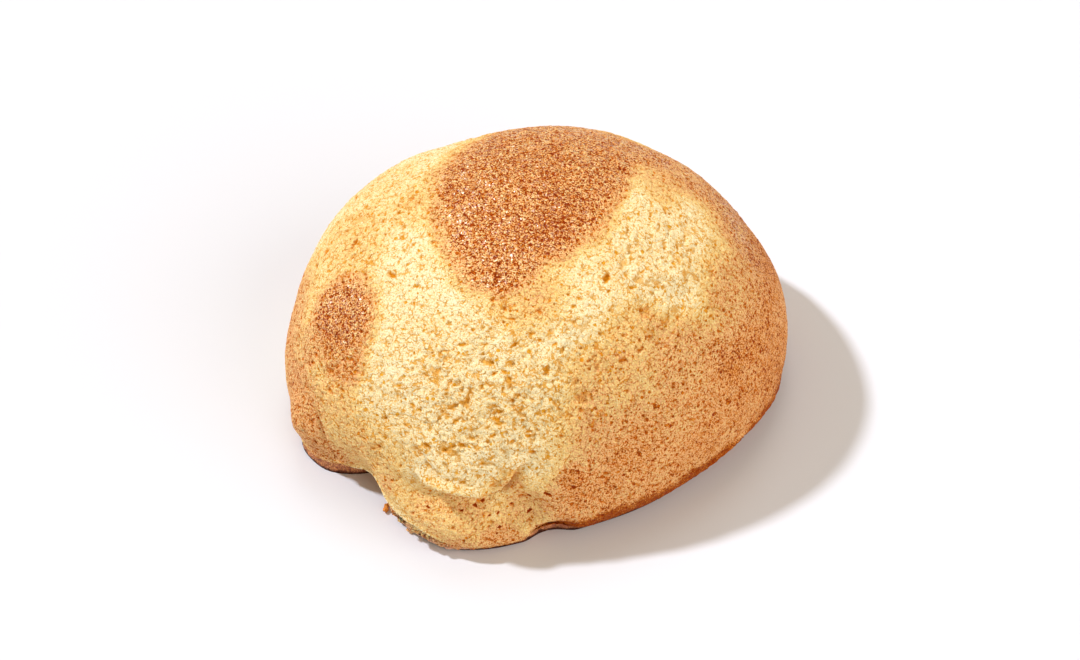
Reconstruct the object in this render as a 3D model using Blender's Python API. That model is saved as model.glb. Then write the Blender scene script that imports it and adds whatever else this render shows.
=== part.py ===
"""Cornbread bun: a domed, hand-shaped roll under a crumbly baked crust, one solid piece of bread.

Metres, +Z up. The origin is under the middle of the bun, on the plane of its flat base.
Azimuths are in degrees, counter-clockwise seen from above: 0 is right (+X), 270 is the front (-Y).
"""

import math
from collections import namedtuple

import bmesh
import bpy
import numpy as np
from mathutils import Vector, noise

MM = 0.001

# Overall size of the bun, before its swells and folds.
MEAN_RADIUS = 52.0 * MM
CROWN_HEIGHT = 57.0 * MM
OVAL = 0.085  # how much longer than round the plan is, as a share of the radius
OVAL_AZIMUTH = 20.0
CROWN_SHIFT = (-4.0 * MM, 2.0 * MM)  # where the crown stands, off the middle of the base
DOME_POWER = 2.0  # exponent of the side view's curve: 2 is an ellipse
WIDEST_HEIGHT = 9.0 * MM
TUCK = 0.06  # share of the radius by which the wall draws in from its widest line to the floor

# Mesh: rows and columns of one side of the cube that the bun is shaped from.
GRID = 34
UNDER_ROWS = 6  # of those rows, the ones below the crust's hem
CROWN_SHARE = 0.34  # share of the wall's length that the top patch of the grid covers
CORNER_REACH = 0.35  # how much further than that it reaches at its corners

# The hem is the crust's lower edge. It hangs over the bread by the inset.
# Stations round the hem: azimuth, height of the hem, and inset of the foot under it.
Station = namedtuple("Station", "azimuth height inset")
HEM = [
    Station(0.0, 3.4 * MM, 2.0 * MM),
    Station(24.0, 2.2 * MM, 1.0 * MM),
    Station(50.0, 3.0 * MM, 1.6 * MM),
    Station(72.0, 1.8 * MM, 0.8 * MM),
    Station(96.0, 3.2 * MM, 1.7 * MM),
    Station(122.0, 2.0 * MM, 1.0 * MM),
    Station(150.0, 3.0 * MM, 1.4 * MM),
    Station(178.0, 2.2 * MM, 0.8 * MM),
    Station(196.0, 3.0 * MM, 0.3 * MM),
    Station(203.0, 7.0 * MM, 0.2 * MM),
    Station(209.0, 15.0 * MM, 0.5 * MM),  # the fold that runs down beside the left foot
    Station(212.0, 10.0 * MM, 1.4 * MM),
    Station(215.5, 5.0 * MM, 2.4 * MM),
    Station(221.0, 6.5 * MM, 7.0 * MM),  # the arch, open to the floor
    Station(226.5, 5.8 * MM, 6.0 * MM),
    Station(231.0, 4.5 * MM, 0.9 * MM),
    Station(243.0, 4.0 * MM, 1.2 * MM),
    Station(256.0, 1.4 * MM, 0.8 * MM),  # the front lobe, down to the floor
    Station(265.0, 1.4 * MM, 1.0 * MM),
    Station(271.0, 3.0 * MM, 2.4 * MM),  # the kink beside it
    Station(279.0, 1.8 * MM, 1.2 * MM),
    Station(300.0, 2.4 * MM, 1.5 * MM),
    Station(318.0, 3.2 * MM, 2.0 * MM),
    Station(334.0, 6.0 * MM, 3.5 * MM),
]
HOLLOW_POWER = 2.0  # how square the corner under the hem is

# Places where the bun swells out, or draws in, along the radius of its plan:
# azimuth, height, spread along the wall, spread in height, how far out, and how far it sags.
Swell = namedtuple("Swell", "azimuth height spread rise out sag", defaults=(0.0,))
SWELLS = {
    "front lobe": Swell(253.0, 4.0 * MM, 12.0 * MM, 8.5 * MM, 4.8 * MM),
    "front": Swell(272.0, 2.0 * MM, 10.0 * MM, 8.0 * MM, 0.8 * MM),
    "chin": Swell(252.0, 22.0 * MM, 9.5 * MM, 7.0 * MM, 2.6 * MM, 2.0 * MM),
    "drawn in at the arch": Swell(223.5, 4.0 * MM, 7.8 * MM, 12.0 * MM, -6.4 * MM),
    "left foot": Swell(206.0, 2.0 * MM, 8.0 * MM, 7.0 * MM, 0.6 * MM),
    "left knob": Swell(202.0, 36.0 * MM, 9.0 * MM, 9.0 * MM, 1.6 * MM),
    "left side": Swell(172.0, 18.0 * MM, 16.0 * MM, 14.0 * MM, -1.4 * MM),
    "left shoulder": Swell(142.0, 38.0 * MM, 14.0 * MM, 12.0 * MM, 0.7 * MM),
    "dent behind the crown": Swell(110.0, 46.0 * MM, 16.0 * MM, 10.0 * MM, -1.4 * MM),
    "right side": Swell(5.0, 16.0 * MM, 26.0 * MM, 16.0 * MM, 1.5 * MM),
    "front right": Swell(318.0, 4.0 * MM, 16.0 * MM, 10.0 * MM, -1.0 * MM),
}

# Grooves pressed into the wall: half width, and the azimuth, height and depth along their line.
Groove = namedtuple("Groove", "width line")
GROOVES = {
    "under the chin": Groove(
        2.6 * MM,
        (
            (229.0, 17.0 * MM, 0.4 * MM),
            (236.5, 15.5 * MM, 1.2 * MM),
            (241.5, 13.5 * MM, 2.4 * MM),
            (250.0, 14.2 * MM, 3.2 * MM),
            (257.0, 15.0 * MM, 3.0 * MM),
            (262.0, 17.5 * MM, 1.6 * MM),
            (266.0, 21.0 * MM, 0.4 * MM),
        ),
    ),
    "left of the chin": Groove(
        1.8 * MM,
        ((237.0, 24.0 * MM, 0.4 * MM), (240.0, 21.0 * MM, 1.2 * MM), (246.0, 15.0 * MM, 1.2 * MM)),
    ),
    "right of the lobe": Groove(
        4.0 * MM,
        ((256.0, 12.0 * MM, 1.0 * MM), (267.0, 11.0 * MM, 1.4 * MM), (274.0, 11.0 * MM, 0.3 * MM)),
    ),
}

# Relief of the crust: clumps of crumb, deeper where the crust is crumbly.
CLUMP_SIZE = 4.5 * MM
CLUMP_DEPTH = 0.15 * MM
CRUMBLY_DEPTH = 0.55 * MM
UNDULATION_SIZE = 14.0 * MM
UNDULATION_DEPTH = 0.5 * MM
CALM_HEIGHT = 4.0 * MM  # the relief dies away below this, so that the foot stands true
CRUMBLY_PLACES = {  # middle of each crumbly place, and its radius
    "front": (Vector((-10 * MM, -38 * MM, 34 * MM)), 22 * MM),
    "right of the crown": (Vector((24 * MM, -8 * MM, 48 * MM)), 18 * MM),
}


def fade(distance, width):
    """1 in the middle of a place, falling smoothly to 0 outside its width."""
    return math.exp(-((distance / width) ** 2))


def turn_between(azimuth, centre):
    """The signed angle in degrees from centre to azimuth, within half a turn."""
    return (azimuth - centre + 180.0) % 360.0 - 180.0


def wall_profile(steps=400):
    """The smooth wall from crown to floor: distance along it, share of the radius, and height."""
    angles = np.linspace(math.pi / 2, 0.0, steps)
    share = np.abs(np.cos(angles)) ** (2 / DOME_POWER)
    share[0] = 0.0
    height = WIDEST_HEIGHT + (CROWN_HEIGHT - WIDEST_HEIGHT) * np.sin(angles) ** (2 / DOME_POWER)
    low = np.linspace(WIDEST_HEIGHT, 0.0, steps // 8)[1:]
    share = np.append(share, 1.0 - TUCK * ((WIDEST_HEIGHT - low) / WIDEST_HEIGHT) ** 2)
    height = np.append(height, low)
    steps_along = np.hypot(np.diff(share) * MEAN_RADIUS, np.diff(height))
    return np.append(0.0, np.cumsum(steps_along)), share, height


ALONG, SHARE, HEIGHT = wall_profile()


def plan_radius(azimuth):
    """The plan's radius at an azimuth: an oval."""
    return MEAN_RADIUS * (1.0 + OVAL * math.cos(2.0 * math.radians(azimuth - OVAL_AZIMUTH)))


def hem_at(azimuth):
    """Height and inset of the hem at an azimuth, eased from station to station."""
    after = next((n for n, place in enumerate(HEM) if place.azimuth > azimuth), 0)
    start, end = HEM[after - 1], HEM[after]
    reach = (end.azimuth - start.azimuth) % 360.0
    share = ((azimuth - start.azimuth) % 360.0) / reach
    ease = share * share * (3.0 - 2.0 * share)
    return (
        start.height + (end.height - start.height) * ease,
        start.inset + (end.inset - start.inset) * ease,
    )


def wall_point(azimuth, along):
    """Radius and height of the smooth wall, at a distance along it from the crown."""
    return (
        plan_radius(azimuth) * float(np.interp(along, ALONG, SHARE)),
        float(np.interp(along, ALONG, HEIGHT)),
    )


def along_to(height):
    """How far along the wall a height is."""
    return float(np.interp(-height, -HEIGHT, ALONG))


def swell(azimuth, height):
    """How far the swells and grooves move a place on the wall out, and how far down."""
    out = sag = 0.0
    for place in SWELLS.values():
        across = math.radians(turn_between(azimuth, place.azimuth)) * MEAN_RADIUS
        share = fade(across, place.spread) * fade(height - place.height, place.rise)
        out += place.out * share
        sag += place.sag * share
    for groove in GROOVES.values():
        distance, depth = nearest_on_line(azimuth, height, groove.line)
        out -= depth * fade(distance, groove.width)
    return out, sag


def nearest_on_line(azimuth, height, line):
    """Distance along the wall from a place on it to a groove's line, and the groove's depth there."""
    nearest = math.inf, 0.0
    for start, end in zip(line, line[1:]):
        span = Vector((math.radians(end[0] - start[0]) * MEAN_RADIUS, end[1] - start[1]))
        here = Vector(
            (math.radians(turn_between(azimuth, start[0])) * MEAN_RADIUS, height - start[1])
        )
        share = min(max(here.dot(span) / span.length_squared, 0.0), 1.0)
        depth = start[2] + (end[2] - start[2]) * share
        nearest = min(nearest, ((here - span * share).length, depth))
    return nearest


def grid_place(corner):
    """Azimuth, ring and reach of the top patch, at a point of the cube: its rings become round."""
    x, y = corner.x, corner.y
    ring = max(abs(x), abs(y))
    if ring == 0.0:
        return 0.0, 0.0, CROWN_SHARE
    if abs(x) >= abs(y):
        azimuth = 45.0 * y / x + (180.0 if x < 0 else 0.0)
    else:
        azimuth = 90.0 - 45.0 * x / y + (180.0 if y < 0 else 0.0)
    reach = CROWN_SHARE * (1.0 + CORNER_REACH * abs(x * y) / ring**2)
    return azimuth % 360.0, ring, reach


def bun_point(corner):
    """Where a point of the cube, whose corners are at 1 and -1, lies on the bun."""
    azimuth, ring, reach = grid_place(corner)
    hem_height, inset = hem_at(azimuth)
    wall_rows = GRID - UNDER_ROWS
    row = (1.0 - corner.z) / 2.0 * GRID
    if corner.z > 1.0 - 1e-6:
        share = ring * reach
    else:
        share = reach + (1.0 - reach) * min(row / wall_rows, 1.0)
    radius, height = wall_point(azimuth, share * along_to(hem_height))
    out, sag = swell(azimuth, height)
    off_crown = radius / plan_radius(azimuth)  # the swells die away towards the crown
    radius += out * off_crown
    height -= sag * off_crown
    if row > wall_rows:
        down = (row - wall_rows) / UNDER_ROWS
        radius -= inset * (1.0 - (1.0 - down) ** HOLLOW_POWER)
        radius *= ring
        height *= 1.0 - down**HOLLOW_POWER
    angle = math.radians(azimuth)
    lean = height / CROWN_HEIGHT
    return Vector(
        (
            radius * math.cos(angle) + CROWN_SHIFT[0] * lean,
            radius * math.sin(angle) + CROWN_SHIFT[1] * lean,
            height,
        )
    )


def crumbliness(point):
    """0 where the crust is smooth, up to 1 in the middle of a crumbly place."""
    return max(
        fade((point - middle).length, radius) for middle, radius in CRUMBLY_PLACES.values()
    )


def relief(point):
    """How far the crust stands out from the smooth form at a point."""
    depth = CLUMP_DEPTH + CRUMBLY_DEPTH * crumbliness(point)
    clumps = noise.noise(point / CLUMP_SIZE)
    undulation = noise.noise(point / UNDULATION_SIZE)
    calm = min(point.z / CALM_HEIGHT, 1.0)
    return calm * (depth * clumps + UNDULATION_DEPTH * undulation)


def centre_plan(shape):
    """Move the bun so that the middle of its box stands on the origin."""
    for axis in (0, 1):
        places = [vert.co[axis] for vert in shape.verts]
        middle = (min(places) + max(places)) / 2.0
        for vert in shape.verts:
            vert.co[axis] -= middle


def crust_material():
    material = bpy.data.materials.new("baked crust")
    material.use_nodes = True
    shader = material.node_tree.nodes["Principled BSDF"]
    shader.inputs["Base Color"].default_value = (0.78, 0.52, 0.22, 1.0)
    shader.inputs["Roughness"].default_value = 0.65
    shader.inputs["Metallic"].default_value = 0.0
    return material


def make_bun():
    shape = bmesh.new()
    bmesh.ops.create_cube(shape, size=2.0)
    bmesh.ops.subdivide_edges(shape, edges=shape.edges[:], cuts=GRID - 1, use_grid_fill=True)
    base = [face for face in shape.faces if face.normal.z < -0.5]
    bottom = bmesh.ops.dissolve_faces(shape, faces=base, use_verts=False)["region"]
    bmesh.ops.poke(shape, faces=bottom)
    for vert in shape.verts:
        vert.co = bun_point(vert.co)
    bmesh.ops.recalc_face_normals(shape, faces=shape.faces[:])
    shape.normal_update()
    for vert in shape.verts:
        vert.co += vert.normal * relief(vert.co)
    centre_plan(shape)
    mesh = bpy.data.meshes.new("cornbread")
    shape.to_mesh(mesh)
    shape.free()
    mesh.shade_smooth()
    mesh.materials.append(crust_material())
    bun = bpy.data.objects.new("cornbread", mesh)
    bpy.context.scene.collection.objects.link(bun)
    return bun


def main():
    for thing in list(bpy.data.objects):
        bpy.data.objects.remove(thing)
    make_bun()


if __name__ == "__main__":
    main()
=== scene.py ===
"""Looks for a domed cornbread bun: its crumbly baked crust, a few loose crumbs, table and light.

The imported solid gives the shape. The crust piece is a finer copy of it, with the crumb's clumps,
cracks, pits and pores moved into the mesh, and the finest grains and colours in its material.
"""

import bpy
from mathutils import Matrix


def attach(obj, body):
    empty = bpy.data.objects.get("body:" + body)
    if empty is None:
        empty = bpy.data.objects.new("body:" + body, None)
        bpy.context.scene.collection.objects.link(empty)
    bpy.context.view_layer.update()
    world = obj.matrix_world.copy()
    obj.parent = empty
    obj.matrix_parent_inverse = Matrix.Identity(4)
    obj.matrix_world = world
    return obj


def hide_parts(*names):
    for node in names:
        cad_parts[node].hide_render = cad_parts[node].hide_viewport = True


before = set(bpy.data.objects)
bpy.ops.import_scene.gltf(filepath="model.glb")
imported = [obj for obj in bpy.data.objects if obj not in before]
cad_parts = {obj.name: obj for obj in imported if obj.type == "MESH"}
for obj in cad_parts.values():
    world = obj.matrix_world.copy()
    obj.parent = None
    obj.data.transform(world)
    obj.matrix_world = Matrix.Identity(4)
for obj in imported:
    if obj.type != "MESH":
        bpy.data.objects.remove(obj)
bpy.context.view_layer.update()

import math
from typing import NamedTuple

import bmesh
import bpy
import numpy as np
from bpy.props import FloatProperty, FloatVectorProperty, IntProperty, PointerProperty
from mathutils import Matrix, Vector, kdtree, noise

bl_info = {
    "name": "Cornbread bun",
    "version": (1, 0, 0),
    "blender": (4, 5, 0),
    "location": "View3D > Sidebar > Cornbread",
    "description": "Makes the crumbly baked crust of a cornbread bun round its solid",
    "category": "Add Mesh",
}

MM = 0.001
MOST_TRIANGLES = 196000  # Most triangles the crust piece may have. Past 200,000, the export thins a piece.
SPLIT_LEVELS = 3
MERGE_WITHIN = 0.001  # Millimetres.
BASE_BELOW = 0.01  # Millimetres.


class BrownedOrShaded(NamedTuple):
    """A place that the oven browned, or one painted darker as painted shade: its middle, its even
    part, its soft edge and its tone.
    """

    x: float
    y: float
    z: float
    even: float
    soft: float
    tone: float


# Millimetres, and tones from 0, palest crumb, to 1, dark brown.
BROWNED_OR_SHADED = (
    BrownedOrShaded(-41.8, -17.0, 40.4, 4.0, 11.0, 0.80),  # left knob
    BrownedOrShaded(-41.5, -24.5, 35.0, 3.0, 8.0, 0.60),  # below the left knob
    # Painted shade: this place darkens the left side where the key light falls full on it.
    BrownedOrShaded(-42.0, -2.0, 42.5, 8.0, 15.0, 0.30),  # above the left knob
    BrownedOrShaded(-52.0, -4.0, 24.0, 6.0, 16.0, 0.58),  # left edge
    BrownedOrShaded(-48.0, -18.0, 31.5, 2.0, 8.0, 0.58),  # left edge, below the left knob
    BrownedOrShaded(-51.5, -20.0, 16.0, 6.0, 14.0, 0.62),  # left edge, low
    BrownedOrShaded(-44.0, -28.5, 26.0, 4.0, 10.0, 0.38),  # left edge, towards the front
    BrownedOrShaded(-47.5, -29.0, 7.0, 4.0, 9.0, 0.62),  # left foot
    BrownedOrShaded(-38.0, -36.0, 14.0, 6.0, 18.0, 0.38),  # front left, low
    # Painted shade: this place darkens the left shoulder where the key light falls full on it.
    BrownedOrShaded(-36.0, 16.0, 42.0, 8.0, 18.0, 0.22),  # left shoulder
    BrownedOrShaded(-25.0, 4.0, 50.0, 4.0, 11.0, 0.30),  # left of the cap
    BrownedOrShaded(-2.0, -21.0, 50.0, 3.0, 12.0, 0.38),  # below the cap's tip
    BrownedOrShaded(5.0, 0.0, 55.0, 4.0, 13.0, 0.86),  # right half of the cap
    BrownedOrShaded(2.0, -7.0, 54.5, 3.0, 9.0, 0.86),  # right edge of the cap's tip
    BrownedOrShaded(22.0, 26.0, 46.0, 5.0, 9.0, 0.70),  # right end of the cap
    BrownedOrShaded(25.0, 13.0, 48.5, 3.0, 9.0, 0.42),  # right of the cap's end
    BrownedOrShaded(33.5, 25.0, 40.0, 7.0, 14.0, 0.63),  # behind the right shoulder
    BrownedOrShaded(48.0, 15.0, 30.0, 8.0, 18.0, 0.70),  # right shoulder
    BrownedOrShaded(43.0, -6.0, 34.0, 5.0, 13.0, 0.54),  # above the right flank
    BrownedOrShaded(55.0, -2.0, 18.0, 11.0, 20.0, 0.67),  # right flank
    BrownedOrShaded(42.0, -18.0, 26.8, 3.0, 9.0, 0.68),  # mark on the right flank
    BrownedOrShaded(52.0, -24.0, 16.0, 15.0, 25.0, 0.67),  # front right
    BrownedOrShaded(33.0, -25.0, 31.0, 6.0, 13.0, 0.55),  # front right, high
    BrownedOrShaded(22.0, -26.0, 38.0, 5.0, 14.0, 0.40),  # right of the front, high
    BrownedOrShaded(12.0, -31.5, 37.0, 3.0, 10.0, 0.40),  # front, high
    BrownedOrShaded(16.0, -38.0, 28.0, 6.0, 16.0, 0.44),  # front, right of the crumb
    BrownedOrShaded(26.0, -43.0, 13.0, 11.0, 26.0, 0.64),  # front, right of the middle
    BrownedOrShaded(8.0, -46.0, 12.5, 4.0, 9.0, 0.60),  # front, low
    # Painted shade: these two places darken the lobe's shaded right side and the valley below the
    # ledge.
    BrownedOrShaded(-2.5, -47.0, 11.0, 3.0, 8.0, 0.44),  # right of the lobe
    BrownedOrShaded(-12.5, -46.0, 13.0, 2.0, 6.0, 0.40),  # valley below the ledge
    BrownedOrShaded(-6.3, -45.7, 18.3, 1.5, 6.0, 0.45),  # crest of the ledge
    BrownedOrShaded(-10.0, -46.4, 17.0, 1.0, 4.5, 0.38),  # edge of the ledge
    BrownedOrShaded(7.8, -44.0, 18.3, 1.5, 6.0, 0.74),  # faint round mark at the front
    BrownedOrShaded(-20.0, -48.0, 9.0, 6.0, 10.0, 0.41),  # lobe
    BrownedOrShaded(-17.0, -49.5, 2.5, 2.0, 6.0, 0.56),  # lower edge of the lobe
    BrownedOrShaded(-8.0, -50.5, 3.5, 3.0, 6.0, 0.62),  # right end of the lobe
    BrownedOrShaded(-32.6, -40.2, 12.0, 1.0, 5.0, 0.46),  # left end of the lobe
    BrownedOrShaded(56.0, -8.0, 4.0, 5.0, 9.0, 0.80),  # lower edge, right
    BrownedOrShaded(47.0, -32.0, 5.0, 5.0, 9.0, 0.84),  # lower edge, front right
    BrownedOrShaded(30.0, -44.0, 4.0, 4.0, 8.0, 0.74),  # lower edge, front
    BrownedOrShaded(4.0, 50.0, 12.0, 16.0, 26.0, 0.60),  # back
    BrownedOrShaded(-42.0, 34.0, 14.0, 10.0, 24.0, 0.54),  # back left
    BrownedOrShaded(46.0, 28.0, 14.0, 12.0, 22.0, 0.68),  # back right
)
PALE_TONE = 0.13  # Of the crumb between these places.
BLEND = 6.0  # The power to which tones are added up, where places overlap.

# The rim is browned close to the table, and fades out between these heights in millimetres.
RIM_TONE = 0.74
RIM_FROM = 1.5
RIM_TO = 6.0

# The right side is painted darkest where it turns under and faces down: partly its browned
# underside, partly painted shade. Each range fades that out, in millimetres.
TURNED_TONE = 1.15
TURNED_RIGHT = (-5.0, 3.0)
TURNED_BACK = (4.0, 34.0)
TURNED_HEIGHT = (6.0, 13.0)

# The outline in plan of the browned cap on the crown, in millimetres, seen from above.
CAP_OUTLINE = (
    (-22.5, 7.5), (-20.0, -3.9), (-17.0, -13.9), (-13.0, -19.0), (-9.4, -21.0), (-4.2, -19.5),
    (5.2, -12.4), (13.6, -3.2), (19.5, 9.2), (24.5, 25.5), (19.0, 34.0), (6.0, 38.0),
    (-8.5, 33.5), (-14.5, 24.5), (-17.0, 18.0), (-20.4, 13.0),
)
CAP_TONE = 0.78
CAP_LOWEST = 20.0
CAP_WOBBLE = 2.0  # How far its edge wanders.
CAP_SOFT_IN = 4.0  # How far inside the outline it has its full tone.
CAP_SOFT_LEFT = 8.5  # How far outside the outline it fades out, at its left side.
CAP_SOFT_RIGHT = 5.0  # The same at its right side.
CAP_SIDES = (-15.0, 5.0)
# Towards the back the cap is painted paler: a painted sheen on its far edge.
CAP_BACK = (10.0, 32.0)
CAP_BACK_SHEEN = 0.1


class Crumbly(NamedTuple):
    """A place where the crust broke into clumps: its middle, its reach and how strongly."""

    x: float
    y: float
    z: float
    reach: float
    share: float


# Millimetres. Each place fades out between these shares of its reach.
CRUMBLY_EDGE = (0.4, 1.3)
CRUMBLY = (
    Crumbly(-12.0, -37.0, 34.0, 20.0, 1.0),  # front
    Crumbly(-34.0, -24.0, 28.0, 14.0, 0.6),  # front left
    Crumbly(-31.0, -35.0, 24.0, 12.0, 0.5),  # left of the ledge
    Crumbly(26.0, -9.0, 46.0, 17.0, 0.8),  # right of the crown
    Crumbly(6.0, -34.0, 42.0, 14.0, 0.8),  # below the cap's tip
    Crumbly(-34.0, 6.0, 43.0, 20.0, 0.5),  # left of the crown
    Crumbly(-20.0, 38.0, 34.0, 18.0, 0.7),  # back
)


class Clump(NamedTuple):
    """Bumps of one kind in the crust: how far apart they are and how far they stand out."""

    size: float
    height: float


# Millimetres.
SWELL = Clump(4.5, 0.24)
CRUMB = Clump(1.25, 0.34)
GRIT = Clump(1.5, 0.08)
WRINKLE = Clump(1.2, 0.22)
FLAKE = Clump(1.4, 0.45)
CRUMB_GAP_DEPTH = 0.24


class PitKind(NamedTuple):
    """How pits of a kind are dug: half their widths, how many times longer they are, and their
    depth in half widths."""

    sizes: tuple
    stretches: tuple
    depth: float


# Millimetres.
RAGGED_PIT = PitKind((0.22, 0.46), (1.2, 2.6), 0.8)
ROUND_PORE = PitKind((0.28, 0.45), (0.9, 1.5), 1.0)
DEEP_PIT_DEPTH = 1.3
# The deep pits low on the lobe are painted dark inside: painted shade.
BLACK_BELOW = 16.0  # Deep pits lower than this, on the lobe, are the darkest.


class Pit(NamedTuple):
    """A single pit: its middle, half its width and how many times longer it is."""

    x: float
    y: float
    z: float
    size: float
    stretch: float


# Millimetres.
DEEP_PITS = (
    Pit(-39.1, -1.3, 45.5, 0.75, 1.6), Pit(-30.2, -13.0, 47.5, 0.7, 1.6),
    Pit(14.0, -15.5, 49.5, 0.75, 1.5), Pit(-16.0, -42.5, 27.9, 0.6, 1.4),
    Pit(-23.3, -41.8, 26.7, 0.5, 1.6), Pit(-5.5, -42.3, 28.6, 0.4, 1.9),
    Pit(-10.6, -42.5, 28.9, 0.4, 1.4), Pit(-19.6, -43.1, 26.7, 0.4, 1.5),
    Pit(-1.3, -43.0, 26.2, 0.5, 1.6), Pit(-23.7, -45.6, 11.1, 0.32, 1.3),
    Pit(-16.3, -46.7, 11.6, 0.34, 1.3), Pit(-13.6, -46.2, 12.3, 0.34, 1.4),
    Pit(-11.9, -45.7, 13.0, 0.32, 1.4), Pit(-10.4, -48.2, 10.4, 0.3, 1.2),
    Pit(-8.1, -47.8, 10.3, 0.32, 1.2), Pit(-2.0, -46.0, 13.7, 0.34, 1.2),
    Pit(-5.2, -46.8, 11.3, 0.32, 1.4), Pit(-7.7, -49.2, 7.3, 0.34, 1.3),
    Pit(-1.8, -46.9, 9.7, 0.3, 2.6), Pit(1.8, -45.8, 15.5, 0.34, 2.8),
)


class Hem(NamedTuple):
    """Height of the crust's lower edge at an azimuth in degrees, in millimetres."""

    azimuth: float
    height: float


HEM = (
    Hem(0, 3.4), Hem(24, 2.2), Hem(50, 3.0), Hem(72, 1.8), Hem(96, 3.2), Hem(122, 2.0),
    Hem(150, 3.0), Hem(178, 2.2), Hem(196, 2.4), Hem(206, 2.6), Hem(212, 3.6),
    Hem(214.6, 6.5), Hem(217.5, 5.8), Hem(221, 6.5), Hem(226.5, 5.8), Hem(231, 5.6),
    Hem(237, 5.4), Hem(243, 5.0), Hem(250, 3.2), Hem(256, 1.4),
    Hem(265, 1.4), Hem(271, 1.6), Hem(279, 1.8), Hem(300, 2.4), Hem(318, 3.2), Hem(334, 6.0),
    Hem(360, 3.4),
)


class Fold(NamedTuple):
    """A fold of the crust along a line: how far it swells above the line and sinks below it."""

    swell: float
    hollow: float
    width: float
    fade_in: float
    fade_out: float
    line: tuple


# Millimetres. Each line runs from left to right, seen from the front.
FOLDS = (
    # Edge of the ledge of crumb at the front.
    Fold(1.3, 2.5, 0.75, 5.0, 15.0, (
        (-27.0, -42.0, 18.8), (-24.4, -43.8, 18.4), (-21.4, -46.2, 17.9), (-17.4, -47.2, 17.7),
        (-14.3, -47.2, 17.2), (-11.0, -46.0, 16.6), (-8.1, -45.6, 17.2), (-5.9, -45.3, 19.8),
        (-4.3, -44.7, 23.0), (-2.4, -43.6, 25.3), (0.3, -42.3, 26.6),
    )),
    # Faint fold above its left end.
    Fold(0.3, 0.7, 0.6, 3.0, 2.0, (
        (-26.5, -40.4, 26.8), (-25.3, -41.6, 25.8), (-24.0, -42.6, 24.8), (-22.4, -44.1, 23.0),
        (-20.7, -45.5, 21.1), (-19.4, -46.3, 19.9),
    )),
    # Edge of the body above the left foot.
    Fold(0.5, 0.9, 0.6, 7.0, 2.0, (
        (-48.6, -23.5, 23.0), (-48.1, -25.1, 21.3), (-47.1, -27.0, 19.9), (-46.1, -28.5, 17.0),
        (-45.2, -29.1, 13.0), (-44.1, -29.5, 9.4), (-42.8, -29.6, 6.5),
    )),
)


class Push(NamedTuple):
    """A place where the crust is pushed out, or in: its middle, its even part, reach and height."""

    x: float
    y: float
    z: float
    even: float
    reach: float
    height: float


# Millimetres.
PUSHES = (
    Push(-52.0, -24.0, 11.5, 1.0, 9.5, 2.0),  # left foot
    Push(-5.5, -48.0, 10.5, 1.0, 10.5, -2.8),  # valley to the right of the lobe
)
NOTCH = Push(3.5, -48.0, 2.0, 1.0, 7.5, -2.6)  # where the lobe's right end leaves the table

# Azimuths in degrees between which the bread below the hem is bared, and stands out.
BARED_FROM, BARED_TO = (222.0, 232.0), (247.0, 262.0)
STRIP_FROM, STRIP_TO = (229.0, 234.0), (247.0, 256.0)

# Millimetres. The crust's lower edge is a clear lip where it is this high.
STRIP_HEIGHT = 1.3
HIGH_HEM = (2.6, 4.5)


class Loose(NamedTuple):
    """A loose crumb on the table: its middle, its length, width and height, turn and finish."""

    x: float
    y: float
    length: float
    width: float
    height: float
    turn: float
    finish: int


# Millimetres and degrees. Finishes: 0 toasted, 1 plain, 2 burnt flake.
LOOSE = (
    Loose(-33.0, -37.4, 2.4, 1.1, 1.2, 82, 0),
    Loose(-27.4, -43.4, 1.7, 1.5, 1.2, 20, 1),
    Loose(-31.0, -38.8, 1.3, 0.35, 0.25, -48, 2),
    Loose(-29.9, -40.3, 1.0, 0.4, 0.3, -30, 2),
    Loose(-28.8, -41.6, 0.9, 0.5, 0.35, -60, 2),
)
LOOSE_BUMPS = 2.4  # Across a crumb.
LOOSE_BUMP_HEIGHT = 0.55  # In radii.
LOOSE_SUNK = 0.1  # Share of its height that is flat on the table.

# Millimetres between the features of the materials' patterns. Real specks are finer still, and
# are drawn as coarse as they need to show.
BLOTCH_SPAN = 6.0
CLOT_SPAN = 1.6
CRUMB_SPAN = 1.2
GRAIN_SPAN = 0.45
SPECK_SPAN = 0.3
PORE_SPAN = 1.2
HOLLOW_SPAN = 1.5
SCRAP_SPAN = 0.5

# Millimetres.
CLOT_BEND = 1.1
FACET_RISE = 0.7
FACET_SHINE = 0.8
SCORCH_HEIGHT = 0.3
SCORCH_WOBBLE = 1.2


# The photographed shadow of a point at height z falls 0.85 z to the right and 0.28 z nearer.
TO_LIGHT = (-0.85, 0.28, 1.0)

# Two weak, wide lights stand at the front right and above.
TO_CARD = (0.76, -0.52, 0.38)
CARD_WIDTH = math.radians(70.0)
TO_SKY = (0.0, 0.5, 0.87)
SKY_WIDTH = math.radians(25.0)
WHITE = (1.0, 1.0, 1.0)
TABLE_REACH = 3.0  # Metres from its middle to its edge.

# Millimetres. The camera looks down on the bun from the front.
LENS = 85.0
SENSOR = 36.0
CAMERA_AWAY = 560.0
CAMERA_HEIGHT = math.radians(47.0)
CAMERA_PIVOT = (-0.13, 1.455, 25.0)
CAMERA_AT = (
    CAMERA_PIVOT[0],
    CAMERA_PIVOT[1] - CAMERA_AWAY * math.cos(CAMERA_HEIGHT),
    CAMERA_PIVOT[2] + CAMERA_AWAY * math.sin(CAMERA_HEIGHT),
)
CAMERA_AIM = (0.31, -3.53, 20.4)


def linear(code):
    """The linear red, green and blue of an sRGB hex colour."""
    parts = [int(code[i : i + 2], 16) / 255 for i in (1, 3, 5)]
    return tuple(p / 12.92 if p <= 0.04045 else ((p + 0.055) / 1.055) ** 2.4 for p in parts)


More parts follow.
